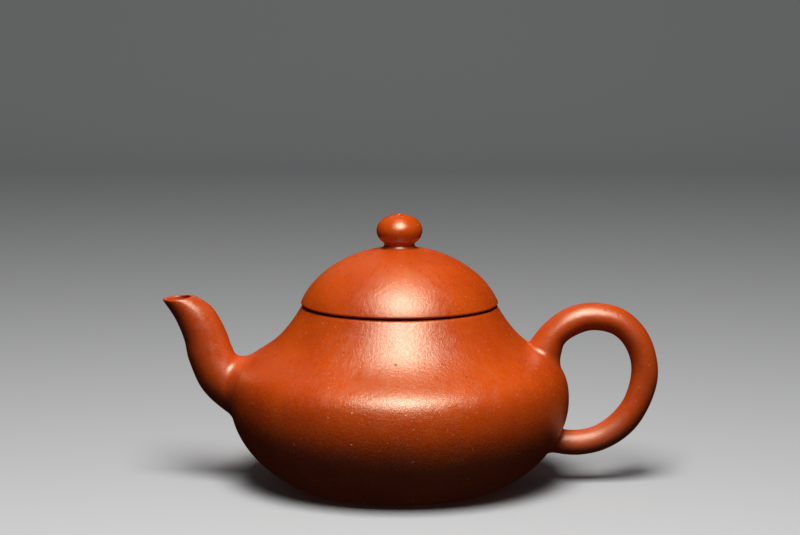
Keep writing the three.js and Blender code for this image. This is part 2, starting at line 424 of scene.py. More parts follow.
pot = Turned(
    BODY_SIDES,
    {
        "dish": dish.run(0, dish_split, 16),
        "dish_edge": dish.run(dish_split, 1, 3),
        "standing_ring": line((RING_INNER, 0), (RING_OUTER, 0), 2),
        "heel": heel.run(0, 1, 6),
        "wall": lower_curve.at(wall_t),
        "belly": belly_curve.at(belly_t),
        "shoulder": neck_curve.at(shoulder_t),
        "neck": neck_curve.run(SEAM_SHARE, RIM_SHARE, 5),
        "rim": corner(
            rim_start, rim_start + RIM_PULL * rim_heading, away(rim_end, RIM_PULL, 0), rim_end
        ),
        "lid_seat": line(rim_end, bore_edge, 5),
        "rim_inside": corner(
            bore_edge,
            away(bore_edge, -EDGE_PULL, 0),
            away(bore_top, EDGE_PULL, math.pi / 2),
            bore_top,
        ),
        "bore": line(bore_top, bore_end, 3),
        "under_ring": under_ring.run(0, 1, 7),
        "shoulder_inside": neck_curve.at(shoulder_t[::-1], -WALL),
        "belly_inside": belly_curve.at(belly_t[::-1], -WALL),
        "wall_inside": lower_curve.at(wall_t[::-1], -WALL),
        "floor_edge": floor.run(0, floor_split, 5),
        "floor": floor.run(floor_split, 1, 14),
    },
    settle_shoulder,
)


def cut_outlet(points, faces):
    """Opens the hole through the wall into the spout, between the same cells outside and in."""
    sides = pot.sides
    first = pot.rows["dish_edge"][0]
    outside = pot.rows["wall"][0] - first
    count = pot.rows["belly"][1] - pot.rows["wall"][0]
    before_inside = pot.rows["belly"][1] - first + 1
    inside = before_inside + pot.rows["wall_inside"][1] - pot.rows["belly_inside"][0]

    def number(k, i, within):
        """The number of a point, k rows up the wall and i sides round, within or outside."""
        row = inside - k if within else outside + k
        return row * sides + i % sides

    hole = set()
    for k in range(count):
        for i in range(sides):
            middle = (points[number(k, i, False)] + points[number(k + 1, i + 1, False)]) / 2
            reach = math.hypot(middle[1], middle[2] - OUTLET_HEIGHT)
            if middle[0] < 0 and reach < OUTLET_RADIUS:
                hole.add((k, i))

    gone = set()
    tunnel = []
    rim = set()
    for k, i in hole:
        for within in (False, True):
            gone.add(frozenset(number(k + a, i + b, within) for a in (0, 1) for b in (0, 1)))
        # Each edge of the cell: its two corners, and the cell on its other side.
        edges = (
            ((k, i), (k, i + 1), (k - 1, i)),
            ((k, i + 1), (k + 1, i + 1), (k, i + 1)),
            ((k + 1, i + 1), (k + 1, i), (k + 1, i)),
            ((k + 1, i), (k, i), (k, i - 1)),
        )
        for a, b, neighbour in edges:
            if neighbour in hole:
                continue
            rim |= {a, b}
            tunnel.append(
                (number(*a, False), number(*b, False), number(*b, True), number(*a, True))
            )
    for corner_place in rim:
        for within in (False, True):
            point = points[number(*corner_place, within)]
            up = point[2] - OUTLET_HEIGHT
            scale = OUTLET_RADIUS / math.hypot(point[1], up)
            point[1] *= scale
            point[2] = OUTLET_HEIGHT + up * scale
    return [face for face in faces if frozenset(face) not in gone] + tunnel


base_rows = pot.span("dish", "dish") + pot.span("floor", "floor")
wall_rows = pot.span("dish_edge", "belly") + pot.span("belly_inside", "floor_edge")
shoulder_rows = pot.span("shoulder", "shoulder") + pot.span("shoulder_inside", "shoulder_inside")
mouth_rows = pot.span("neck", "under_ring")

base_disc = pot.piece(
    "pressed_base", "pot", ["base_disc"], "clay_plain", base_rows, looped=False
)
body_wall = pot.piece(
    "beaten_wall", "pot", ["body_wall"], "clay_burnished", wall_rows, cut=cut_outlet
)
shoulder_disc = pot.piece(
    "hollow_shoulder", "pot", ["shoulder_disc"], "clay_burnished", shoulder_rows
)
mouth_ring = pot.piece("mouth_rim", "pot", ["mouth_ring"], "clay_burnished", mouth_rows)

# ---------------------------------------------------------------- the lid
lid_rim = (LID_RADIUS, LID_SEAT + LID_EDGE)
lid_top = (0, LID_HEIGHT)
rim_angle = math.pi - LID_SLOPE
dome_curve = Bezier(
    lid_rim, away(lid_rim, LID_RIM_PULL, rim_angle), away(lid_top, LID_TOP_PULL, 0), lid_top
)
HOLLOW_SHARE = 0.22  # the hollow starts inside the solid rim
HOLLOW_PULL = 1.2
HOLLOW_ANGLE = -1.2  # the way the hollow heads for the flange, in radians
STEP_CORNER = 3  # height above the seat of the corner that the hollow turns at
vent_share = dome_curve.where(VENT_RADIUS)
vent_top = dome_curve.at(vent_share)[0]
vent_bottom = dome_curve.at(vent_share, -WALL)[0]
hollow_end = dome_curve.at(HOLLOW_SHARE, -WALL)[0]
seat_edge = (LID_RADIUS - LID_EDGE, LID_SEAT)
step_end = (FLANGE_BORE, LID_SEAT + LID_STEP)

lid = Turned(
    BODY_SIDES,
    {
        "seat": line((FLANGE_BORE, LID_SEAT), seat_edge, 6),
        "edge": corner(
            seat_edge, away(seat_edge, EDGE_PULL, 0), away(lid_rim, -EDGE_PULL, rim_angle), lid_rim
        ),
        "dome": dome_curve.run(0, vent_share, 64),
        "vent": line(vent_top, vent_bottom, 2),
        "hollow": dome_curve.run(vent_share, HOLLOW_SHARE, 28, -WALL),
        "step": corner(
            hollow_end,
            away(hollow_end, HOLLOW_PULL, HOLLOW_ANGLE),
            (FLANGE_BORE, LID_SEAT + STEP_CORNER),
            step_end,
        ),
        "inner_edge": line(step_end, (FLANGE_BORE, LID_SEAT), 2),
    },
    heights=(LID_SEAT, LID_HEIGHT),
)
lid_dome = lid.piece(
    "lid_plate", "lid", ["lid_dome"], "clay_burnished", lid.span("seat", "inner_edge")[:-1]
)

BEVEL = 0.5  # rounding of the flange's edges
BEVEL_CORNER = 0.2  # how near the sharp corner the rounding is pulled
FILLET = 0.4  # how far the flange spreads under the dome
FILLET_CORNER = 0.15
TURNING_GAP = 0.04  # the flange stays this far below the dome that turns on it

outer_foot = (FLANGE_RADIUS - BEVEL, FLANGE_FOOT)
outer_low = (FLANGE_RADIUS, FLANGE_FOOT + BEVEL)
outer_high = (FLANGE_RADIUS, LID_SEAT - BEVEL)
fillet_end = (FLANGE_RADIUS + FILLET, LID_SEAT)
inner_high = (FLANGE_BORE, LID_SEAT)
inner_low = (FLANGE_BORE, FLANGE_FOOT + BEVEL)
inner_foot = (FLANGE_BORE + BEVEL, FLANGE_FOOT)

flange = Turned(
    BODY_SIDES,
    {
        "foot": line(inner_foot, outer_foot, 2),
        "outer_edge": corner(
            outer_foot,
            (FLANGE_RADIUS - BEVEL_CORNER, FLANGE_FOOT),
            (FLANGE_RADIUS, FLANGE_FOOT + BEVEL_CORNER),
            outer_low,
        ),
        "outside": line(outer_low, outer_high, 8),
        "fillet": corner(
            outer_high,
            (FLANGE_RADIUS, LID_SEAT - BEVEL_CORNER),
            (FLANGE_RADIUS + FILLET_CORNER, LID_SEAT),
            fillet_end,
        ),
        "top": line(fillet_end, inner_high, 2),
        "inside": line(inner_high, inner_low, 8),
        "inner_edge": corner(
            inner_low,
            (FLANGE_BORE, FLANGE_FOOT + BEVEL_CORNER),
            (FLANGE_BORE + BEVEL_CORNER, FLANGE_FOOT),
            inner_foot,
        ),
    },
    heights=(FLANGE_FOOT, LID_SEAT - TURNING_GAP),
)
lid_flange = flange.piece(
    "lid_lip", "lid_ring", ["lid_flange"], "clay_plain", flange.span("foot", "inner_edge")[:-1]
)


# ---------------------------------------------------------------- the knob
def bead(angle):
    """Points of the knob's oval outline, at these angles above its widest place."""
    angle = np.atleast_1d(angle)
    return np.stack(
        [KNOB_RADIUS * np.cos(angle), KNOB_HEIGHT + KNOB_HALF_HEIGHT * np.sin(angle)], axis=1
    )


KNOB_SIDES = 128
VENT_ROUNDING = 0.35
VENT_ROUNDING_DEPTH = 0.3
VENT_PULL = 0.15
NECK_PULL = 0.8

bead_start = math.radians(-45)  # where the bead comes off its neck
bead_end = math.acos((VENT_RADIUS + VENT_ROUNDING) / KNOB_RADIUS)
neck_end = bead(bead_start)[0]
neck_foot = (4.9, LID_HEIGHT - 0.42)  # where the neck meets the dome
neck_sweep = (4.1, LID_HEIGHT - 0.2)  # the neck leaves the dome towards here
bead_heading = math.atan2(
    KNOB_HALF_HEIGHT * math.cos(bead_start), -KNOB_RADIUS * math.sin(bead_start)
)
knob_neck = Bezier(neck_foot, neck_sweep, away(neck_end, -NECK_PULL, bead_heading), neck_end)
knob_top = bead(bead_end)[0]
vent_mouth = (VENT_RADIUS, knob_top[1] - VENT_ROUNDING_DEPTH)
knob_bottom = LID_HEIGHT - KNOB_SUNK
knob_form = Turned(
    KNOB_SIDES,
    {
        "bottom": line((VENT_RADIUS, knob_bottom), (KNOB_FOOT_RADIUS, knob_bottom), 2),
        "foot": line((KNOB_FOOT_RADIUS, knob_bottom), neck_foot, 1),
        "neck": knob_neck.run(0, 1, 12),
        "bead": bead(np.linspace(bead_start, bead_end, 60)),
        "vent_edge": corner(
            knob_top,
            away(knob_top, -VENT_PULL, 0),
            (VENT_RADIUS, vent_mouth[1] + VENT_PULL),
            vent_mouth,
        ),
        "vent": line(vent_mouth, (VENT_RADIUS, knob_bottom), 4),
    },
)
knob = knob_form.piece(
    "bead_knob", "lid", ["knob"], "clay_smooth", knob_form.span("bottom", "vent")[:-1]
)

# ---------------------------------------------------------------- spout and handle
side_t = np.linspace(0, 1, 400)
side_curves = (lower_curve, belly_curve, neck_curve)
SIDE = np.vstack([curve.at(side_t) for curve in side_curves])
SIDE_HEADING = np.vstack([curve.heading(side_t) for curve in side_curves])


def body_probe(points):
    """How far points are outside the round body, the nearest places on it and its normals.

    Points inside the clay or the pot have a distance below 0."""
    flat = points.reshape(-1, 3)
    radius = np.hypot(flat[:, 0], flat[:, 1])
    gap = (radius[:, None] - SIDE[:, 0]) ** 2 + (flat[:, 2][:, None] - SIDE[:, 1]) ** 2
    nearest = np.argmin(gap, axis=1)
    place = SIDE[nearest]
    out = np.stack([SIDE_HEADING[nearest, 1], -SIDE_HEADING[nearest, 0]], axis=1)
    distance = (radius - place[:, 0]) * out[:, 0] + (flat[:, 2] - place[:, 1]) * out[:, 1]
    level = flat[:, :2] / np.maximum(radius, 1e-9)[:, None]
    normal = np.column_stack([level * out[:, :1], out[:, 1]])
    on_body = flat - distance[:, None] * normal
    shape = points.shape
    return distance.reshape(shape[:-1]), on_body.reshape(shape), normal.reshape(shape)


def spline(values, t):
    """A smooth curve through evenly shared values, at t from 0 to 1."""
    values = np.asarray(values, float).reshape(len(values), -1)
    last = len(values) - 1
    place = np.clip(np.asarray(t, float), 0, 1) * last
    i = np.minimum(place.astype(int), last - 1)
    w = (place - i)[..., None]
    before, start, end, after = (
        values[np.clip(i + step, 0, last)] for step in (-1, 0, 1, 2)
    )
    leaving = (end - before) / 2
    arriving = (after - start) / 2
    return (
        (2 * start - 2 * end + leaving + arriving) * w**3
        + (-3 * start + 3 * end - 2 * leaving - arriving) * w**2
        + leaving * w
        + start
    )


JOIN_FULLNESS = 0.62  # how far towards their corner the curves of a join are pulled
JOIN_SUNK = 0.5  # how deep a tube's end is sunk in the body
JOIN_STEPS = 14


class Tube:
    """An oval tube through stations. Its side is an angle: 0 on the inner edge, a quarter turn
    towards +Y, and half a turn on the outer edge."""

    def __init__(self, stations):
        self.outer, self.inner, self.half = zip(*stations)

    def at(self, t, side, inset=0.0):
        """Places at the share t of the tube's length, this far inside its surface."""
        t, side, inset = np.broadcast_arrays(
            np.asarray(t, float), np.asarray(side, float), np.asarray(inset, float)
        )
        a = spline(self.outer, t)
        b = spline(self.inner, t)
        middle = (a + b) / 2
        arm = (b - a) / 2
        reach = np.linalg.norm(arm, axis=-1, keepdims=True)
        arm = arm * (1 - inset[..., None] / reach)
        half = spline(self.half, t)[..., 0] - inset
        c, s = np.cos(side), np.sin(side)
        return np.stack(
            [middle[..., 0] + arm[..., 0] * c, half * s, middle[..., 1] + arm[..., 1] * c],
            axis=-1,
        )

    def root(self, deep, far, side, rise, reach):
        """Rings that flow from the body's surface onto the tube near its end at deep.

        far is a share of the tube that is well outside the body. rise is how far up the tube,
        and reach how far over the body, the join is spread. It gives a ring sunk in the clay,
        the rings of the join, the body's normals at the first one, and where on the tube they
        end."""
        t = np.linspace(deep, far, 500)[:, None]
        path = self.at(t, side)
        outside = body_probe(path)[0]
        last_in = len(t) - 1 - np.argmax((outside <= 0)[::-1], axis=0)
        pick = np.arange(len(side))
        t_in = t[last_in, 0]
        meet = path[last_in, pick]
        travelled = np.cumsum(
            np.linalg.norm(np.diff(path, axis=0, prepend=path[:1]), axis=2), axis=0
        )
        travelled -= travelled[last_in, pick]
        above = np.argmax(travelled >= rise, axis=0)
        t_end = t[above, 0]
        top = path[above, pick]
        top_heading = path[above + 1, pick] - path[above, pick]
        top_heading /= np.linalg.norm(top_heading, axis=1)[:, None]

        step = 1e-3
        around = self.at(t_in, side + step) - self.at(t_in, side - step)
        along = top - meet
        out = np.cross(around, along) * np.sign(far - deep)
        normal = body_probe(meet)[2]
        out -= (out * normal).sum(1)[:, None] * normal
        out /= np.linalg.norm(out, axis=1)[:, None]
        landing, normal = body_probe(meet + reach[:, None] * out)[1:]
        lean = meet - landing
        lean -= (lean * normal).sum(1)[:, None] * normal
        lean /= np.linalg.norm(lean, axis=1)[:, None]

        up = np.linalg.norm(top - meet, axis=1)[:, None] * JOIN_FULLNESS
        across = np.linalg.norm(meet - landing, axis=1)[:, None] * JOIN_FULLNESS
        a, b, c, d = landing, landing + across * lean, top - up * top_heading, top
        rings = []
        for w in np.linspace(0, 1, JOIN_STEPS + 1):
            v = 1 - w
            rings.append(v**3 * a + 3 * v**2 * w * b + 3 * v * w**2 * c + w**3 * d)
        sunk = landing - JOIN_SUNK * normal
        return sunk, rings, normal, t_end


def uneven_rings(rings, first_normal=None, last_normal=None):
    """The rings with the hand's unevenness, and their normals."""
    grid = np.array(rings)
    normals = grid_normals(grid)
    if first_normal is not None:
        normals[0] = first_normal
    if last_normal is not None:
        normals[-1] = last_normal
    out = hand_made(grid.reshape(-1, 3)).reshape(grid.shape[:2])
    grid = grid + out[:, :, None] * normals
    final = grid_normals(grid)
    if first_normal is not None:
        final[0] = first_normal
    if last_normal is not None:
        final[-1] = last_normal
    return grid, final


side = np.arange(TUBE_SIDES) * TAU / TUBE_SIDES


def swing(middle, more):
    """A value for each side of a tube: this much more on its inner edge, and less outside."""
    return middle + more * np.cos(side)


SPOUT_LENGTH = 42  # along its middle
LIP = SPOUT_WALL / 2  # half the lip's thickness
LIP_STRETCH = 1.2  # length of the lip's rounding, for each half thickness
BORE_DEEP = 0.7  # the bore starts this far under the body's surface

spout_tube = Tube(SPOUT)
sunk, join_rings, spout_normal, spout_from = spout_tube.root(
    0, 1, side, rise=swing(2.6, 1.0), reach=swing(3.0, 1.4)
)
lip_share = LIP / SPOUT_LENGTH * LIP_STRETCH
round_share = lip_share * swing(2.0, 0.5)  # the lip is rounder towards the pot
outside_rings = [
    spout_tube.at(spout_from + (1 - round_share - spout_from) * w, side)
    for w in np.linspace(0, 1, 52)[1:]
]
lip_rings = [
    spout_tube.at(
        1 - (round_share if turned < math.pi / 2 else lip_share) * (1 - math.sin(turned)),
        side,
        LIP * (1 - math.cos(turned)),
    )
    for turned in np.linspace(0, math.pi, 15)[1:]
]
bore_t = np.linspace(0, 1, 400)[:, None]
bore_path = spout_tube.at(bore_t, side, SPOUT_WALL)
bore_in = body_probe(bore_path)[0] <= -BORE_DEEP
bore_from = bore_t[len(bore_t) - 1 - np.argmax(bore_in[::-1], axis=0), 0]
bore_rings = [
    spout_tube.at(1 - lip_share - (1 - lip_share - bore_from) * w, side, SPOUT_WALL)
    for w in np.linspace(0, 1, 36)[1:]
]
grid, normals = uneven_rings(
    join_rings + outside_rings + lip_rings + bore_rings, first_normal=spout_normal
)
rings = [sunk] + list(grid)
normals = np.vstack([np.full(sunk.shape, np.nan), normals.reshape(-1, 3)])
spout = make_piece(
    "curved_spout", "pot", ["spout"], np.vstack(rings), skin(rings, True), normals
)

handle_tube = Tube(HANDLE)
upper_sunk, upper_join, upper_normal, handle_from = handle_tube.root(
    0, 0.5, side, rise=swing(2.0, 0.8), reach=swing(1.9, 0.7)
)
lower_sunk, lower_join, lower_normal, handle_to = handle_tube.root(
    1, 0.5, side, rise=swing(1.9, -0.5), reach=swing(1.9, -0.7)
)
grip_rings = [
    handle_tube.at(handle_from + (handle_to - handle_from) * w, side)
    for w in np.linspace(0, 1, 132)[1:-1]
]
grid, normals = uneven_rings(
    upper_join + grip_rings + lower_join[::-1], upper_normal, lower_normal
)
upper_cap = upper_sunk.mean(0, keepdims=True)
lower_cap = lower_sunk.mean(0, keepdims=True)
rings = [upper_cap, upper_sunk] + list(grid) + [lower_sunk, lower_cap]
hidden = np.full((TUBE_SIDES + 1, 3), np.nan)
normals = np.vstack([hidden, normals.reshape(-1, 3), hidden])
handle = make_piece(
    "ear_handle", "pot", ["handle"], np.vstack(rings), skin(rings, False), normals
)


# ---------------------------------------------------------------- the ball strainer
STRAINER_CENTRE = np.array([-41.2, 0, OUTLET_HEIGHT])
STRAINER_CIRCLES = ((0, 1), (26, 6), (52, 11))  # tilt from the middle in degrees, and holes
STRAINER_SIDES = 96
STRAINER_REACH = math.radians(110)  # the most that its side may tilt
STRAINER_SUNK = 0.35  # how deep its edge is sunk in the wall
PIN_SIDES = 20


def dome_place(radius, tilt, turned):
    """Points of a ball about the strainer's centre, tilted away from the pot's inside."""
    tilt, turned = np.broadcast_arrays(tilt, turned)
    heading = np.stack(
        [np.cos(tilt), np.sin(tilt) * np.sin(turned), np.sin(tilt) * np.cos(turned)], axis=-1
    )
    return STRAINER_CENTRE + radius * heading


def shell_rings(radius, turned, count):
    """Rings of one side of the ball, from its middle out to just inside the wall's surface."""
    tilt = np.linspace(0, STRAINER_REACH, 300)[:, None]
    depth = body_probe(dome_place(radius, tilt, turned))[0]
    last = np.argmax(depth > STRAINER_SUNK - WALL, axis=0)
    ends = tilt[last, 0]
    rings = [dome_place(radius, np.zeros(1), np.zeros(1))]
    for w in np.linspace(0, 1, count)[1:]:
        rings.append(dome_place(radius, ends * w, turned))
    return rings


def hole_pin(tilt, turned):
    """The two end rings of a thin pin through the shell, whose place is cut away."""
    ring = np.arange(PIN_SIDES) * TAU / PIN_SIDES
    out = dome_place(1, tilt, turned) - STRAINER_CENTRE
    any_other_way = (0.3, 1, 0.2)
    across = np.cross(out, any_other_way)
    across /= np.linalg.norm(across)
    other = np.cross(out, across)
    circle = STRAINER_HOLE * (np.cos(ring)[:, None] * across + np.sin(ring)[:, None] * other)
    rings = []
    for reach in (STRAINER_RADIUS - 3, STRAINER_RADIUS + 2):
        rings.append(STRAINER_CENTRE + reach * out + circle)
    return rings


def face_outwards(mesh):
    """Turns every face of a closed mesh outwards."""
    work = bmesh.new()
    work.from_mesh(mesh)
    bmesh.ops.recalc_face_normals(work, faces=work.faces)
    work.to_mesh(mesh)
    work.free()


def make_strainer():
    """The ball-shaped shell, with its holes drilled by pins."""
    turned = np.arange(STRAINER_SIDES) * TAU / STRAINER_SIDES
    outer = shell_rings(STRAINER_RADIUS, turned, 26)
    inner = shell_rings(STRAINER_RADIUS - STRAINER_WALL, turned, 22)
    rings = outer + inner[::-1]
    shell = make_object("shell", make_mesh("shell", np.vstack(rings), skin(rings, False)))
    points = []
    faces = []
    for tilt, number in STRAINER_CIRCLES:
        for i in range(number):
            pin = hole_pin(math.radians(tilt), TAU * i / number)
            start = len(points)
            count = len(pin[0])
            points += list(pin[0]) + list(pin[1])
            for face in band(0, count, count, count):
                faces.append(tuple(start + v for v in face))
            faces.append(tuple(range(start, start + count)))
            faces.append(tuple(range(start + 2 * count - 1, start + count - 1, -1)))
    pins = make_object("pins", make_mesh("pins", points, faces))
    for item in (shell, pins):
        face_outwards(item.data)
    cut = shell.modifiers.new("holes", "BOOLEAN")
    cut.object = pins
    cut.operation = "DIFFERENCE"
    cut.solver = "EXACT"
    drilled = bpy.data.meshes.new_from_object(
        shell.evaluated_get(bpy.context.evaluated_depsgraph_get())
    )
    bpy.data.objects.remove(shell)
    bpy.data.objects.remove(pins)
    drilled.name = "ball_strainer"
    drilled.shade_smooth()
    drilled.set_sharp_from_angle(angle=math.radians(40))
    piece = make_object("ball_strainer", drilled)
    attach(piece, "pot")
    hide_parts("strainer")
    return piece


strainer = make_strainer()


# ---------------------------------------------------------------- materials
class Nodes:
    """A material's node tree, with short ways to add and join nodes."""

    def __init__(self, name):
        self.material = bpy.data.materials.new(name)
        self.material.use_nodes = True
        self.tree = self.material.node_tree
        self.surface = self.tree.nodes["Principled BSDF"]

    def add(self, kind, **settings):
        node = self.tree.nodes.new("ShaderNode" + kind)
        for name, value in settings.items():
            setattr(node, name, value)
        return node

    def join(self, source, target):
        self.tree.links.new(source, target)

    def put(self, target, value):
        if isinstance(value, bpy.types.NodeSocket):
            self.join(value, target)
        else:
            target.default_value = value

    def math(self, operation, a, b=0.0):
        node = self.add("Math", operation=operation)
        self.put(node.inputs[0], a)
        self.put(node.inputs[1], b)
        return node.outputs[0]

    def range(self, value, low, high, to_low=0.0, to_high=1.0, smooth=True):
        """value, carried over from low and high to to_low and to_high."""
        node = self.add("MapRange")
        node.interpolation_type = "SMOOTHSTEP" if smooth else "LINEAR"
        for name, part in (
            ("Value", value),
            ("From Min", low),
            ("From Max", high),
            ("To Min", to_low),
            ("To Max", to_high),
        ):
            self.put(node.inputs[name], part)
        return node.outputs["Result"]

    def mix(self, share, a, b):
        """The colour a, with this share of b."""
        node = self.add("Mix", data_type="RGBA")
        self.put(node.inputs[0], share)
        self.put(node.inputs[6], a)
        self.put(node.inputs[7], b)
        return node.outputs[2]

    def noise(self, place, scale, detail, roughness, distortion=0.0):
        node = self.add("TexNoise")
        self.put(node.inputs["Vector"], place)
        node.inputs["Scale"].default_value = scale
        node.inputs["Detail"].default_value = detail
        node.inputs["Roughness"].default_value = roughness
        node.inputs["Distortion"].default_value = distortion
        return node.outputs["Fac"]

    def grains(self, place, scale, share, size):
        """1 in separate spots of up to this radius in mm, and 0 elsewhere.

        scale is how many cells there are to a mm, and share how many of the cells have a spot."""
        node = self.add("TexVoronoi", feature="F1")
        self.put(node.inputs["Vector"], place)
        node.inputs["Scale"].default_value = scale
        split = self.add("SeparateColor")
        self.join(node.outputs["Color"], split.inputs[0])
        chosen = self.math("LESS_THAN", split.outputs[0], share)
        own_size = self.range(split.outputs[1], 0, 1, 0.45 * size * scale, size * scale, False)
        near = self.math("DIVIDE", node.outputs["Distance"], own_size)
        spot = self.range(near, 0.75, 1.0, 1.0, 0.0)
        return self.math("MULTIPLY", spot, chosen)

    def bump(self, height, distance, strength, before=None):
        """A normal, from a height of 0 to 1 that stands for this distance in metres."""
        node = self.add("Bump")
        self.join(height, node.inputs["Height"])
        node.inputs["Distance"].default_value = distance
        node.inputs["Strength"].default_value = strength
        if before is not None:
            self.join(before, node.inputs["Normal"])
        return node.outputs["Normal"]


SAND_COLOUR = (0.62, 0.18, 0.045, 1)
GOLD_COLOUR = (0.7, 0.29, 0.09, 1)
IRON_COLOUR = (0.1, 0.017, 0.004, 1)
STROKE_RADIUS = 30.0  # the way round is measured at this radius
STROKE_SQUASH = 0.12  # of the height, which makes the strokes long and upright
UNREACHED_BELOW = 9  # the burnisher reaches the low parts of the pot less
REACHED_ABOVE = 22
SKIN_HEIGHT = 0.00007  # heights of the bumps, in metres
PORE_HEIGHT = 0.00006
STROKE_HEIGHT = 0.00004
GOLD_STANDS = 0.00006
PIT_DEPTH = 0.00012


def shade(colour, factor):
    """A darker or lighter colour."""
    return tuple(factor * v for v in colour[:3]) + (1,)


def place_in_mm(nodes):
    """The place on the resting pot, in mm."""
    where = nodes.add("TexCoord")
    scaled = nodes.add("VectorMath", operation="SCALE")
    nodes.join(where.outputs["Object"], scaled.inputs[0])
    scaled.inputs["Scale"].default_value = 1000
    return scaled.outputs[0]


def round_place(nodes, place):
    """Place as the way round the axis and the height, in mm, for the burnisher's strokes."""
    axis = nodes.add("VectorMath", operation="SUBTRACT")
    nodes.join(place, axis.inputs[0])
    axis.inputs[1].default_value = (AXIS_X / MM, 0, 0)
    split = nodes.add("SeparateXYZ")
    nodes.join(axis.outputs[0], split.inputs[0])
    angle = nodes.math("ARCTAN2", split.outputs[1], split.outputs[0])
    way = nodes.math("MULTIPLY", angle, STROKE_RADIUS)
    return way, split.outputs[2]


def clay(name, deep, warm, gloss, peel, streaks, polish):
    """Fired red clay. Colours run from deep to warm, and gloss is its middle roughness. peel and
    streaks say how strong the pear-skin texture and the burnisher's strokes are, and polish how
    much sheen the burnishing has added on top."""
    nodes = Nodes(name)
    place = place_in_mm(nodes)
    cloud = nodes.noise(place, scale=0.07, detail=3.0, roughness=0.55)
    patch = nodes.noise(place, scale=0.45, detail=4.0, roughness=0.6)
    grain = nodes.noise(place, scale=3.2, detail=3.0, roughness=0.65)
    colour = nodes.mix(nodes.range(cloud, 0.32, 0.68), deep, warm)
    colour = nodes.mix(nodes.range(patch, 0.5, 0.75, 0, 0.28), colour, shade(deep, 0.82))
    colour = nodes.mix(nodes.range(grain, 0.46, 0.7, 0, 0.7), colour, shade(warm, 1.2))

    sand = nodes.grains(place, scale=0.62, share=0.7, size=0.25)
    gold = nodes.grains(place, scale=0.24, share=0.75, size=0.32)
    iron = nodes.grains(place, scale=0.16, share=0.6, size=0.36)
    colour = nodes.mix(nodes.math("MULTIPLY", sand, 0.7), colour, SAND_COLOUR)
    colour = nodes.mix(nodes.math("MULTIPLY", gold, 0.8), colour, GOLD_COLOUR)
    colour = nodes.mix(nodes.math("MULTIPLY", iron, 0.9), colour, IRON_COLOUR)
    nodes.join(colour, nodes.surface.inputs["Base Color"])

    way, height = round_place(nodes, place)
    stroke_place = nodes.add("CombineXYZ")
    nodes.join(way, stroke_place.inputs[0])
    nodes.join(nodes.math("MULTIPLY", height, STROKE_SQUASH), stroke_place.inputs[1])
    strokes = nodes.noise(stroke_place.outputs[0], scale=1.3, detail=3.0, roughness=0.6)

    wear = nodes.range(patch, 0.35, 0.7, gloss - 0.05, gloss + 0.07)
    rough = nodes.math("ADD", wear, nodes.range(strokes, 0.3, 0.7, -0.03, 0.03))
    rough = nodes.math("ADD", rough, nodes.math("MULTIPLY", iron, 0.3))
    unreached = nodes.range(height, UNREACHED_BELOW, REACHED_ABOVE, 0.16, 0)
    rough = nodes.math("ADD", rough, unreached)
    nodes.join(rough, nodes.surface.inputs["Roughness"])
    nodes.surface.inputs["IOR"].default_value = 1.6
    nodes.surface.inputs["Specular Tint"].default_value = (1, 1, 0.85, 1)

    skin_bumps = nodes.noise(place, scale=1.1, detail=2.0, roughness=0.5, distortion=0.4)
    pores = nodes.noise(place, scale=3.4, detail=3.0, roughness=0.6)
    pits = nodes.math("SUBTRACT", 0.0, iron)
    normal = nodes.bump(skin_bumps, SKIN_HEIGHT, peel)
    normal = nodes.bump(pores, PORE_HEIGHT, peel, normal)
    normal = nodes.bump(strokes, STROKE_HEIGHT, streaks, normal)
    normal = nodes.bump(gold, GOLD_STANDS, 1.0, normal)
    normal = nodes.bump(pits, PIT_DEPTH, 1.0, normal)
    nodes.join(normal, nodes.surface.inputs["Normal"])
    nodes.surface.inputs["Coat Weight"].default_value = polish
    nodes.surface.inputs["Coat Roughness"].default_value = 0.27
    nodes.join(normal, nodes.surface.inputs["Coat Normal"])
    return nodes.material


burnished = clay(
    "burnished_red_clay",
    deep=(0.362, 0.036, 0.0007, 1),
    warm=(0.432, 0.052, 0.001, 1),
    gloss=0.33,
    peel=1.0,
    streaks=0.4,
    polish=0.03,
)
smoothed = clay(
    "smoothed_red_clay",
    deep=(0.345, 0.033, 0.0007, 1),
    warm=(0.405, 0.047, 0.001, 1),
    gloss=0.37,
    peel=0.6,
    streaks=0.0,
    polish=0.02,
)
rubbed = clay(
    "rubbed_red_clay",
    deep=(0.34, 0.032, 0.0007, 1),
    warm=(0.4, 0.046, 0.001, 1),
    gloss=0.27,
    peel=0.45,
    streaks=0.0,
    polish=0.03,
)
plain = clay(
    "plain_red_clay",
    deep=(0.33, 0.038, 0.005, 1),
    warm=(0.38, 0.05, 0.007, 1),
    gloss=0.58,
    peel=1.0,
    streaks=0.3,
    polish=0.0,
)


def finish_two_sides(piece, outside, inside, middle_height):
    """Gives the faces that look towards a middle point on the axis the inside's material."""
    piece.data.materials.append(outside)
    piece.data.materials.append(inside)
    middle = Vector((AXIS_X, 0, middle_height * MM))
    for face in piece.data.polygons:
        face.material_index = int(face.normal.dot(face.center - middle) < 0)


for piece in (body_wall, shoulder_disc, mouth_ring):
    finish_two_sides(piece, burnished, plain, BELLY_HEIGHT)
finish_two_sides(lid_dome, burnished, plain, LID_SEAT + LID_STEP / 2)
for piece in (spout, handle):
    piece.data.materials.append(smoothed)
knob.data.materials.append(rubbed)
for piece in (base_disc, strainer, lid_flange):
    piece.data.materials.append(plain)


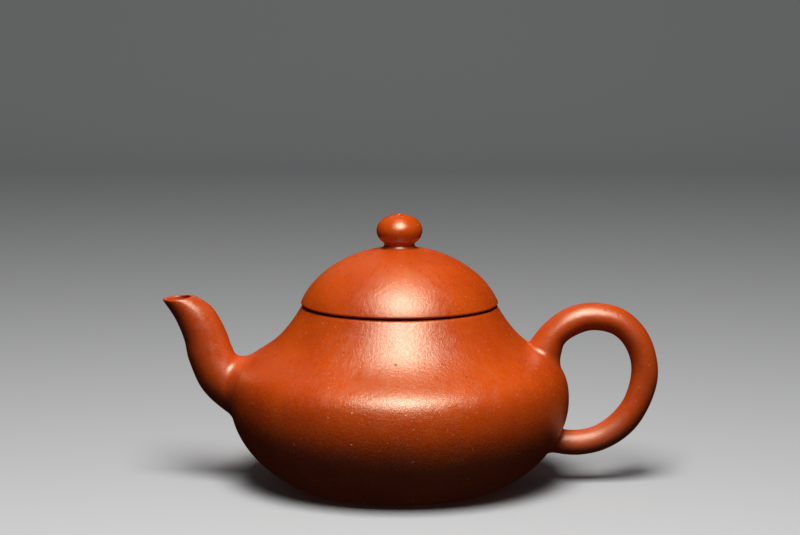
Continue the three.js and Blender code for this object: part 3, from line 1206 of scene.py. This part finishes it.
# ---------------------------------------------------------------- floor and light, in metres
def make_floor():
    """A pale sweep: flat under the pot, and curved up behind it."""
    front = -3.0
    back = 0.75
    radius = 0.5
    top = 4.0
    half_width = 3.5
    profile = [(front, 0.0), (back, 0.0)]
    for angle in np.linspace(0, math.pi / 2, 25)[1:]:
        profile.append((back + radius * math.sin(angle), radius * (1 - math.cos(angle))))
    profile.append((back + radius, top))
    points = []
    for y, z in profile:
        points += [(-half_width, y, z), (half_width, y, z)]
    faces = [(2 * i, 2 * i + 1, 2 * i + 3, 2 * i + 2) for i in range(len(profile) - 1)]
    mesh = bpy.data.meshes.new("floor_sweep")
    mesh.from_pydata(points, [], faces)
    mesh.polygons.foreach_set("use_smooth", [True] * len(mesh.polygons))
    sweep = make_object("floor_sweep", mesh)
    nodes = Nodes("pale_paper")
    nodes.surface.inputs["Base Color"].default_value = (0.55, 0.55, 0.55, 1)
    nodes.surface.inputs["Roughness"].default_value = 0.8
    mesh.materials.append(nodes.material)
    sweep.visible_diffuse = False  # no light comes off it onto the clay
    sweep.visible_glossy = False
    return sweep


def soft_box(name, place, width, height, power, colour=(1, 1, 1), shape="RECTANGLE"):
    """A flat lamp that faces the middle of the pot. Its power is in watts."""
    data = bpy.data.lights.new(name, "AREA")
    data.shape = shape
    data.size = width
    data.size_y = height
    data.energy = power
    data.color = colour
    lamp = make_object(name, data)
    lamp.location = place
    lamp.rotation_euler = (POT_MIDDLE - Vector(place)).to_track_quat("-Z", "Y").to_euler()
    return lamp


def light_only(lamp, name, items):
    """Keeps a lamp to some of the items, as a photographer does with flags."""
    lit = bpy.data.collections.new(name)
    for item in items:
        lit.objects.link(item)
    lamp.light_linking.receiver_collection = lit


POT_MIDDLE = Vector((AXIS_X, 0, (cad_low[2] + cad_high[2]) / 2))
KEY_COLOUR = (1, 0.97, 0.92)
WARM_GLEAM = (1, 0.97, 0.55)
COOL_GLEAM = (0.62, 0.86, 1)
GLEAM_PLACE = (0.022, -0.33, 0.57)
OVERHEAD_PLACE = (0.022, 0.08, 0.7)

# Name, place, width, height, power and colour of the lamps that only make the clay gleam. The
# cool core inside the wide warm box gives the highlights white middles and warm edges.
GLEAMS = (
    ("gleam_box", GLEAM_PLACE, 0.42, 0.6, 5.2, WARM_GLEAM),
    ("gleam_core", GLEAM_PLACE, 0.3, 0.43, 7.8, COOL_GLEAM),
    ("overhead_panel", OVERHEAD_PLACE, 0.34, 0.3, 0.5, WARM_GLEAM),
)

sweep = make_floor()
pieces = [base_disc, body_wall, shoulder_disc, mouth_ring, spout, handle, strainer]
pieces += [lid_dome, lid_flange, knob]

key = soft_box(
    "key_box", (0.05, -0.27, 0.6), width=0.3, height=0.3, power=7.0, colour=KEY_COLOUR
)
key.visible_glossy = False
light_only(key, "lit_by_key", pieces)
for name, place, width, height, power, colour in GLEAMS:
    gleam = soft_box(name, place, width, height, power, colour, "ELLIPSE")
    gleam.visible_diffuse = False
    light_only(gleam, "lit_by_" + name, pieces)
back = soft_box("back_box", (-0.1, 0.55, 0.42), width=0.4, height=0.4, power=4.0)
back.visible_glossy = False
light_only(back, "lit_by_back", pieces)
floor_box = soft_box("floor_box", (-0.015, -0.33, 0.58), width=0.25, height=0.4, power=5.5)
light_only(floor_box, "lit_by_floor_box", [sweep])

world = bpy.data.worlds.new("studio")
world.use_nodes = True
background = world.node_tree.nodes["Background"]
background.inputs["Color"].default_value = (0.9, 0.95, 1, 1)
background.inputs["Strength"].default_value = 0.06
world.cycles_visibility.glossy = False
bpy.context.scene.world = world
bpy.context.scene.view_settings.view_transform = "Standard"

# ---------------------------------------------------------------- camera
CAMERA_DISTANCE = 0.7
CAMERA_ELEVATION = math.radians(8.29)
CAMERA_ASIDE = 0.00015
CAMERA_AIM = 0.05684  # height of the point on the axis that it looks at
CAMERA_LENS = 121.97

camera_data = bpy.data.cameras.new("camera")
camera_data.lens = CAMERA_LENS
camera_data.sensor_width = 36
camera = make_object("camera", camera_data)
camera.location = (
    AXIS_X + CAMERA_ASIDE,
    -CAMERA_DISTANCE * math.cos(CAMERA_ELEVATION),
    CAMERA_AIM + CAMERA_DISTANCE * math.sin(CAMERA_ELEVATION),
)
camera.rotation_euler = (math.pi / 2 - CAMERA_ELEVATION, 0, 0)
bpy.context.scene.camera = camera
